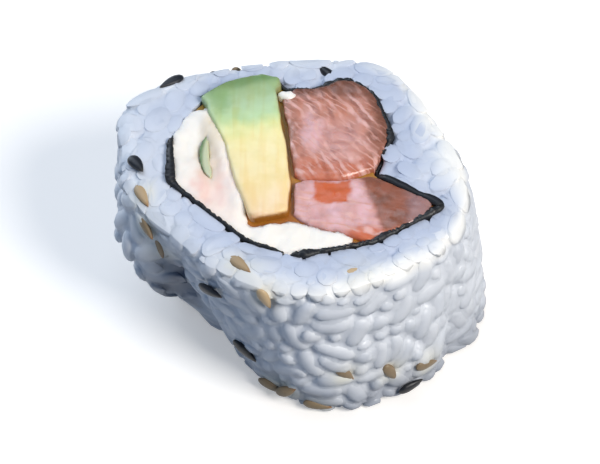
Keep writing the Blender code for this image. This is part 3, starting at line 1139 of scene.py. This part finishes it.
def swell_strip(mesh, amount, lump, unevenness, seed, gap=None):
    """Spreads a strip sideways to the wrap and, with a gap, to the avocado, and makes its surface uneven."""
    places, normals = places_of(mesh), normals_of(mesh)
    angle, _, height = to_polar(places)
    deeper = 0.1 * MM + closed_over(angle, height) * 0.2 * MM
    move = normals[:, :2] * np.broadcast_to(amount, len(places))[:, None]
    if gap is not None:
        beside, weight = close_to(AVOCADO, places, normals, BESIDE_REACH, -gap * MM)
        move = blend(weight, beside, move)
    to_wrap, weight = close_to(WRAP, places, normals, WRAP_REACH, deeper)
    places[:, :2] += blend(weight, to_wrap, move)
    return places + normals * (ripple(places, lump, seed) * (unevenness * MM))[:, None]


def top_box(name):
    """A node's lowest and highest corners at the upper cut face."""
    places = places_of(solid(name))
    at_top = places[places[:, 2] > TOP - MM]
    return Vector(at_top.min(0)), Vector(at_top.max(0))


def raise_top(places, name, relief, start=1.5, full=0.3):
    """Adds relief to a strip's upper end, from one depth in millimetres on and in full above another."""
    high = top_box(name)[1].z
    places[:, 2] += relief * smoothstep(high - start * MM, high - full * MM, places[:, 2])


def level_with_top(places):
    """Places moved along the slice's lean to where the upper cut face has them."""
    shift = centre_at(TOP) - centre_at(places[:, 2])
    return places + np.concatenate([shift, np.zeros((len(places), 1))], 1)


def margins(places, name):
    """How many millimetres in from a node's left, front, right and back places lie, at the upper cut face."""
    low, high = top_box(name)
    x, y, _ = places.T
    return (x - low.x) / MM, (y - low.y) / MM, (high.x - x) / MM, (high.y - y) / MM


def build_avocado(material):
    mesh = fine_copy("avocado", 0.3)
    normals = normals_of(mesh)
    places = swell_strip(mesh, 0.0, 5, 0.12, 1)
    low, high = top_box("avocado")
    back = (high.y - places[:, 1]) / (high.y - low.y)
    right = (level_with_top(places)[:, 0] - low.x) / (high.x - low.x)
    ripeness = back + 0.10 * right - 0.08 + ripple(places, 2.5, 4) * 0.03
    streak = ripple(places * (1, 0.08, 0.3), 1.1, 6) * 0.5 + 0.5
    raise_top(places, "avocado", (streak - 0.5) * 0.08 * MM)
    put_places(mesh, places)
    # Painted brown shade down the avocado's sides, in the gap by the salmon and under its front lip.
    down = (high.z - places[:, 2]) / MM + ripple(places, 1.5, 9) * 0.12
    left = smoothstep(-0.6, -0.2, normals[:, 0])
    side = smoothstep(0.25, 0.7, down) * (0.35 + 0.65 * smoothstep(0.0, 0.35, back)) * left
    to_salmon = nearest_on(search_tree(solid("salmon_back")), places, ceiling=1)[1]
    along = smoothstep(0.08, 0.16, back) * smoothstep(0.75, 0.5, back)
    edge = smoothstep(1.15 * MM, 0.7 * MM, to_salmon) * along * 0.6
    lip = smoothstep(0.955, 1.0, back) * 0.45
    rough_left, _, _, rough_back = margins(wobbled(level_with_top(places), 1.5, 0.6, 50), "avocado")
    corner = spot(rough_left, rough_back, (2.0, 3.8), (1.3, 1.9), 0.6)
    stain = np.maximum.reduce([side, edge, lip])
    paint(mesh, ripeness=np.clip(ripeness, 0, 1), streak=streak, stain=stain, bruise=corner * 0.75)
    add_piece(mesh, "avocado_strip", material, "avocado")


def build_salmon(filling, name, material, pattern):
    """A strip of salmon, whose pattern gives how pale, orange, brown and plain its places are."""
    mesh = fine_copy(name, 0.24)
    places = swell_strip(mesh, filling.swell, 3, 0.2, 2, gap=0.5)
    raise_top(places, name, ripple(places @ GRAIN_OF_FISH, 1.3, 7, 2) * 0.10 * MM)
    put_places(mesh, places)
    pale, orange, brown, plain = np.clip(pattern(places), 0, 1)
    paint(mesh, pale=pale, orange=orange, brown=brown, plain=plain)
    add_piece(mesh, name + "_strip", material, name)


def back_salmon_pattern(places):
    left, front, right, back = margins(wobbled(level_with_top(places), 2.5, 0.8, 8), "salmon_back")
    lilac = spot(left, front, (2.6, 7.0), (1.5, 3.0), 0.5) * 0.65
    middle = spot(left, front, (6.0, 5.5), (3.0, 3.0), 0.6) * 0.25
    orange = smoothstep(4.0, 1.5, front) * 0.4
    skin = smoothstep(3.4, 0.3, back)
    to_wrap = nearest_on(WRAP, wobbled(places, 1.2, 0.35, 70))[1] / MM
    rim = smoothstep(1.8, 0.4, to_wrap) * smoothstep(3.5, 6.5, front)
    sides = (smoothstep(2.6, 0.3, right) * 0.6, smoothstep(1.2, 0.2, left) * 0.4)
    brown = np.maximum.reduce([skin, *sides, rim * 0.95])
    return lilac + middle, orange, brown, np.maximum(skin * 0.75, rim * 0.8)


def front_salmon_pattern(places):
    rough = wobbled(level_with_top(places), 2.5, 0.35, 30)
    left, front, right, _ = margins(rough, "salmon_front")
    torn_left, torn_front, _, _ = margins(wobbled(rough, 1.2, 0.3, 60), "salmon_front")
    orange = between(2.3, 6.6, 0.3, torn_left) * between(5.1, 8.4, 0.3, torn_front)
    tail = smoothstep(10.0, 11.2, left + 0.35 * front)
    tip = smoothstep(3.4, 1.6, right)
    edge = smoothstep(2.0, 0.8, front) * smoothstep(5, 7, left)
    streaks = 0.62 + 0.3 * ripple(rough * (1, 0.4, 1), 1.6, 33)
    pale = streaks * (1 - orange) * (1 - tail) * (1 - edge) + tip * 0.25
    brown = tail * (0.78 + 0.2 * ripple(rough, 2, 36)) + tip * 0.3
    warm = np.maximum.reduce([orange, edge * 0.8, tail * 0.6])
    return pale, warm, brown * (1 - edge * 0.6), np.maximum(orange, tail * 0.9)


def build_cream(filling, material):
    mesh = fine_copy("cream_cheese", 0.3)
    before_avocado = smoothstep(-5.0 * MM, -6.5 * MM, places_of(mesh)[:, 1])
    behind = before_avocado * smoothstep(0.3, 0.7, normals_of(mesh)[:, 1])
    swell = filling.swell * (1 - behind) - 0.35 * MM * behind
    free, closed = (swell_strip(mesh, swell, 3.5, 0.22, 3, gap) for gap in (None, -0.1))
    places = blend(before_avocado, free, closed)
    smear = ripple(places * (1, 0.4, 1), 1.6, 12)
    to_avocado = nearest_on(AVOCADO, places, ceiling=1)[1]
    drawn_up = 0.55 * MM * smoothstep(2.2 * MM, 0.3 * MM, to_avocado) * (1 - before_avocado)
    raise_top(places, "cream_cheese", smear * 0.14 * MM + drawn_up, 2, 0.2)
    put_places(mesh, places)
    left, _, _, back = margins(wobbled(level_with_top(places), 2.2, 0.7, 40), "cream_cheese")
    beige = spot(left, back, (3.9, 6.0), (1.5, 5.5), 0.5) * (0.7 + 0.3 * smear)
    pink = spot(left, back, (4.4, 13.0), (2.8, 5.2), 0.8) * (0.6 + 0.4 * smear)
    paint(mesh, beige=np.clip(beige, 0, 1), pink=np.clip(pink, 0, 1))
    add_piece(mesh, "cream_spread", material, "cream_cheese")


def build_dab(name, node_name, shift, size, material):
    """A dab of cream cheese squeezed in beside the avocado."""
    low, high = top_box(node_name)
    dab = bmesh.new()
    bmesh.ops.create_icosphere(dab, subdivisions=3, radius=1)
    bmesh.ops.scale(dab, vec=Vector(size) * MM, verts=dab.verts)
    bmesh.ops.translate(dab, vec=Vector((low.x, high.y, TOP)) + Vector(shift) * MM, verts=dab.verts)
    mesh = to_mesh(dab, name)
    places = places_of(mesh)
    put_places(mesh, places + normals_of(mesh) * ripple(places, 1.2, 44)[:, None] * 0.35 * MM)
    paint(mesh, beige=0.0, pink=0.0)
    add_piece(mesh, name, material)


def build_onion(material):
    mesh = fine_copy("spring_onion", 0.14)
    places = swell_strip(mesh, 0.12 * MM, 1.5, 0.06, 5)
    put_places(mesh, places)
    low, high = top_box("spring_onion")
    bow = 1 - ((places[:, 1] * 2 - low.y - high.y) / (high.y - low.y)) ** 2
    right = margins(level_with_top(places), "spring_onion")[2]
    paint(mesh, inside=smoothstep(0.7, 0.2, right - ONION_BOW * bow) * 0.9)
    add_piece(mesh, "onion_sliver", material, "spring_onion")


def build_bed(material):
    """A sheet between the strips, a little below the cut face, painted as the brown shade seen in the
    crevices.
    """
    builder, loops = tube(240, 2)
    bmesh.ops.holes_fill(builder, edges=loops[0][1] + loops[1][1], sides=0)
    for (points, _), height in zip(loops, BED_HEIGHTS):
        angles = angles_of(points)
        put_points(points, from_polar(angles, NORI_INSIDE.at(angles, height) - 0.05 * MM, height))
    bmesh.ops.recalc_face_normals(builder, faces=builder.faces)
    add_piece(to_mesh(builder, "filling_bed"), "filling_bed", material, smooth=False)


class URAMAKI_OT_filling(Operator):
    """Makes the avocado, salmon, cream cheese and spring onion."""

    bl_idname = "uramaki.filling"
    bl_label = "Filling"

    def execute(self, context):
        filling = context.scene.uramaki.filling
        build_avocado(avocado_material(filling))
        marbled = salmon_material(filling, "salmon_back", math.radians(-60), 1.5, (0.38, 0.145, 0.10))
        build_salmon(filling, "salmon_back", marbled, back_salmon_pattern)
        banded = salmon_material(filling, "salmon_front", math.radians(-28), 2.0, (0.52, 0.22, 0.16))
        build_salmon(filling, "salmon_front", banded, front_salmon_pattern)
        cheese = cream_material(filling)
        build_cream(filling, cheese)
        for dab in DABS:
            build_dab(*dab, cheese)
        build_onion(onion_material(filling))
        build_bed(gap_shade_material())
        return {"FINISHED"}


# --- Sesame ---

SEED_MESH = (12, 10)  # faces round a seed and along it
SEED_SPAN = 1.1 * MM  # from a seed's middle to where it is felt to rest
HIDDEN_SIDE = (32, 168)  # directions between which seeds are scattered

# Seeds on the side: kind, direction in degrees, height in millimetres, turn from level in degrees, and the
# share of their thickness that is sunk.
SIDE_SEEDS = (
    ("black", -128.4, 17.1, -4, -0.15),
    ("black", -60.3, 2.2, -12, -0.25),
    ("black", -122.4, 6.0, 35, 0.3),
    ("toasted", -104.5, 20.6, 70, 0.3),
    ("toasted", -158.3, 19.9, 20, 0.95),
    ("toasted", -154.6, 17.3, 70, 1.25),
    ("toasted", -112.5, 1.5, 10, 0.3),
    ("toasted", -105.5, 2.6, -40, 0.6),
    ("toasted", -94.5, 1.2, 5, 0.5),
    ("toasted", -66.6, 5.7, 65, 0.6),
    ("toasted", -52.0, 4.1, 20, 0.55),
    ("toasted", -82.3, 7.7, 50, 0.75),
)
# Seeds on the upper cut face: the same, with the distance in from the wall in place of the height.
FACE_SEEDS = (
    ("black", -178.9, 2.6, -31, -0.1),
    ("black", 140.0, 1.0, 12, 0.4),
    ("black", 80.5, 2.6, 38, 0.8),
    ("toasted", -166.2, 2.0, -10, 0.55),
    ("toasted", -116.0, 2.4, 20, 0.6),
    ("toasted", -70.0, 2.8, 0, 0.85),
)


def seed_on(tree, start, aim, level, turn, sunk):
    """A seed's place, outward and length directions and share sunk, felt by rays along aim."""
    turn = math.radians(turn)
    along = level * math.cos(turn) + aim.cross(level) * math.sin(turn)
    across = along.cross(aim)
    steps = [(0, 0), (1, 0), (-1, 0), (0, 0.5), (0, -0.5)]
    hits = [tree.ray_cast(start + (along * a + across * b) * SEED_SPAN, aim) for a, b in steps]
    hits = [hit for hit in hits if hit[0]]
    nearest = min((hit[0] - start).dot(aim) for hit in hits)
    normal = sum((hit[1] for hit in hits), Vector()) / len(hits)
    out = (normal * 0.5 - aim).normalized()
    return start + aim * nearest, out, (along - out * along.dot(out)).normalized(), sunk


def side_seed(tree, direction, height, turn, sunk):
    """A seed on the side, at a direction and a turn in degrees and a height in millimetres."""
    angle = math.radians(direction)
    out = Vector((math.cos(angle), math.sin(angle), 0))
    start = Vector((*centre_at(height * MM), height * MM)) + out * FAR_OUT
    return seed_on(tree, start, -out, Vector((-out.y, out.x, 0)), turn, sunk)


def face_seed(tree, direction, inset, turn, sunk):
    """A seed on the upper cut face, placed like one on the side but so far in from the wall."""
    angle = math.radians(direction)
    start = Vector(from_polar(angle, RICE_OUTSIDE.at(angle, TOP) - inset * MM, TOP)) + Vector((0, 0, 10 * MM))
    level = Vector((-math.sin(angle), math.cos(angle), 0))
    return seed_on(tree, start, Vector((0, 0, -1)), level, turn, sunk)


def build_seeds(sesame, seeds, name, material, rng):
    """One piece with all seeds of a kind: flat drops, round at one end and pointed at the other."""
    count = len(seeds)
    place, out, along, sunk = (np.array(part) for part in zip(*seeds))
    mesh, (x, y, z) = many_balls(count, *SEED_MESH)
    size = np.array([sesame.width, sesame.thickness, sesame.length]) / 2 * rng.normal(1, 0.06, (count, 3))
    drop = np.sqrt(1 - 0.92 * z) / 1.08
    local = np.stack([x * drop, y * np.sqrt(drop), z], -1) * size[:, None]
    turned = local @ np.stack([np.cross(along, out), out, along], 1)
    resting = place + out * (sesame.thickness * (0.3 - sunk))[:, None]
    put_places(mesh, (turned + resting[:, None]).reshape(-1, 3))
    # Painted shade: seeds are darker towards the foot, besides differing at random.
    paler = smoothstep(1 * MM, 9 * MM, place[:, 2])
    tone = np.repeat(rng.uniform(0, 1, count) * (0.2 + 0.8 * paler), x.shape[1])
    paint(mesh, tone=tone, tip=smoothstep(0.55, 1.0, z.ravel()))
    add_piece(mesh, name, material)


class URAMAKI_OT_sesame(Operator):
    """Scatters black and toasted sesame seeds on the rice."""

    bl_idname = "uramaki.sesame"
    bl_label = "Sesame"

    def execute(self, context):
        sesame = context.scene.uramaki.sesame
        rng = np.random.default_rng(sesame.seed)
        tree = search_tree(*(thing.data for thing in bpy.data.objects if thing.name.startswith("rice_")))
        seeds = {"black": [], "toasted": []}
        for kind, *where in SIDE_SEEDS:
            seeds[kind].append(side_seed(tree, *where))
        for kind, *where in FACE_SEEDS:
            seeds[kind].append(face_seed(tree, *where))
        for index in range(sesame.scattered):
            kind = "black" if index % 5 < 2 else "toasted"
            height = rng.uniform(2, TOP / MM - 2)
            where = (rng.uniform(*HIDDEN_SIDE), height, rng.uniform(0, 180), rng.uniform(0.2, 0.6))
            seeds[kind].append(side_seed(tree, *where))
        black = seed_material("black_sesame", sesame.black, (0.03, 0.025, 0.02), 0.35)
        build_seeds(sesame, seeds["black"], "black_sesame", black, rng)
        toasted = seed_material("toasted_sesame", sesame.toasted, (0.33, 0.17, 0.07), 0.4)
        build_seeds(sesame, seeds["toasted"], "toasted_sesame", toasted, rng)
        return {"FINISHED"}


# --- Stage ---

# Soft lights: name, place, size, power and colour.
LIGHTS = (
    ("key", (0.36, -0.29, 0.44), 0.3, 3.65, (1.0, 0.97, 0.93)),
    ("sky", (-0.14, 0.22, 0.58), 0.5, 1.4, (0.77, 0.86, 1.0)),
    ("fill", (-0.34, 0.44, 0.22), 0.4, 1.2, (0.78, 0.88, 1.0)),
    ("shade", (-0.42, -0.22, 0.24), 0.3, 0.22, (0.40, 0.62, 1.0)),
)
ROOM_COLOUR = (0.52, 0.70, 1.0)
ROOM_LIGHT = 0.2
FLOOR_SIZE = 3.0
FLOOR_GLOW = 0.3  # keeps the floor near white
ASPECT = 600 / 464  # the picture's width over its height


def stand_at(thing, place, target):
    """Puts a light or the camera at a place, turned to a target."""
    thing.location = place
    thing.rotation_euler = (Vector(place) - Vector(target)).to_track_quat("Z", "Y").to_euler()


def set_floor(colour):
    """A pale floor that leaves the slice's foot in its own shade."""
    builder = bmesh.new()
    bmesh.ops.create_grid(builder, x_segments=2, y_segments=2, size=FLOOR_SIZE)
    floor = add_object("floor", to_mesh(builder, "floor"))
    looks = {"base_color": colour, "roughness": 0.8, "emission_color": (1.0, 0.97, 0.92)}
    floor.data.materials.append(new_material("floor", emission_strength=FLOOR_GLOW, **looks)[0])
    floor.visible_diffuse = False


def set_lights(scene):
    for name, place, size, power, colour in LIGHTS:
        lamp = bpy.data.lights.new(name, "AREA")
        lamp.shape = "DISK"
        lamp.size = size
        lamp.energy = power
        lamp.color = colour
        stand_at(add_object(name, lamp), place, (0, 0, TOP / 2))
    world = bpy.data.worlds.new("room")
    world.use_nodes = True
    background = world.node_tree.nodes["Background"]
    feed(world.node_tree, background.inputs["Color"], ROOM_COLOUR)
    background.inputs["Strength"].default_value = ROOM_LIGHT
    scene.world = world
    scene.view_settings.view_transform = "Standard"


class URAMAKI_OT_stage(Operator):
    """Sets the floor, the lights and the camera."""

    bl_idname = "uramaki.stage"
    bl_label = "Stage"

    def execute(self, context):
        stage = context.scene.uramaki.stage
        set_floor(stage.floor)
        set_lights(context.scene)
        camera = bpy.data.cameras.new("camera")
        camera.lens = camera.sensor_width * stage.distance / (stage.view_height * ASPECT)
        camera.clip_start = 0.01
        camera.clip_end = 10
        rig = add_object("camera", camera)
        middle = (Vector(CAD_BOX[0]) + Vector(CAD_BOX[1])) / 2
        back = Vector((0, -math.cos(stage.elevation), math.sin(stage.elevation)))
        stand_at(rig, middle + back * stage.distance, middle)
        context.scene.camera = rig
        return {"FINISHED"}


class URAMAKI_PT_panel(Panel):
    """Lists the slice's pieces."""

    bl_label = "Uramaki Slice"
    bl_space_type = "VIEW_3D"
    bl_region_type = "UI"
    bl_category = "Uramaki"

    def draw(self, context):
        for operator in PIECES:
            self.layout.operator(operator.bl_idname)


PIECES = (URAMAKI_OT_rice, URAMAKI_OT_nori, URAMAKI_OT_filling, URAMAKI_OT_sesame, URAMAKI_OT_stage)
SETTINGS = (RiceSettings, NoriSettings, FillingSettings, SesameSettings, StageSettings, UramakiSettings)


def register():
    for made in (*SETTINGS, *PIECES, URAMAKI_PT_panel):
        bpy.utils.register_class(made)
    bpy.types.Scene.uramaki = PointerProperty(type=UramakiSettings)


def unregister():
    del bpy.types.Scene.uramaki
    for made in reversed((*SETTINGS, *PIECES, URAMAKI_PT_panel)):
        bpy.utils.unregister_class(made)


def main():
    register()
    bpy.ops.uramaki.rice()
    bpy.ops.uramaki.nori()
    bpy.ops.uramaki.filling()
    bpy.ops.uramaki.sesame()
    bpy.ops.uramaki.stage()


if __name__ == "__main__":
    main()
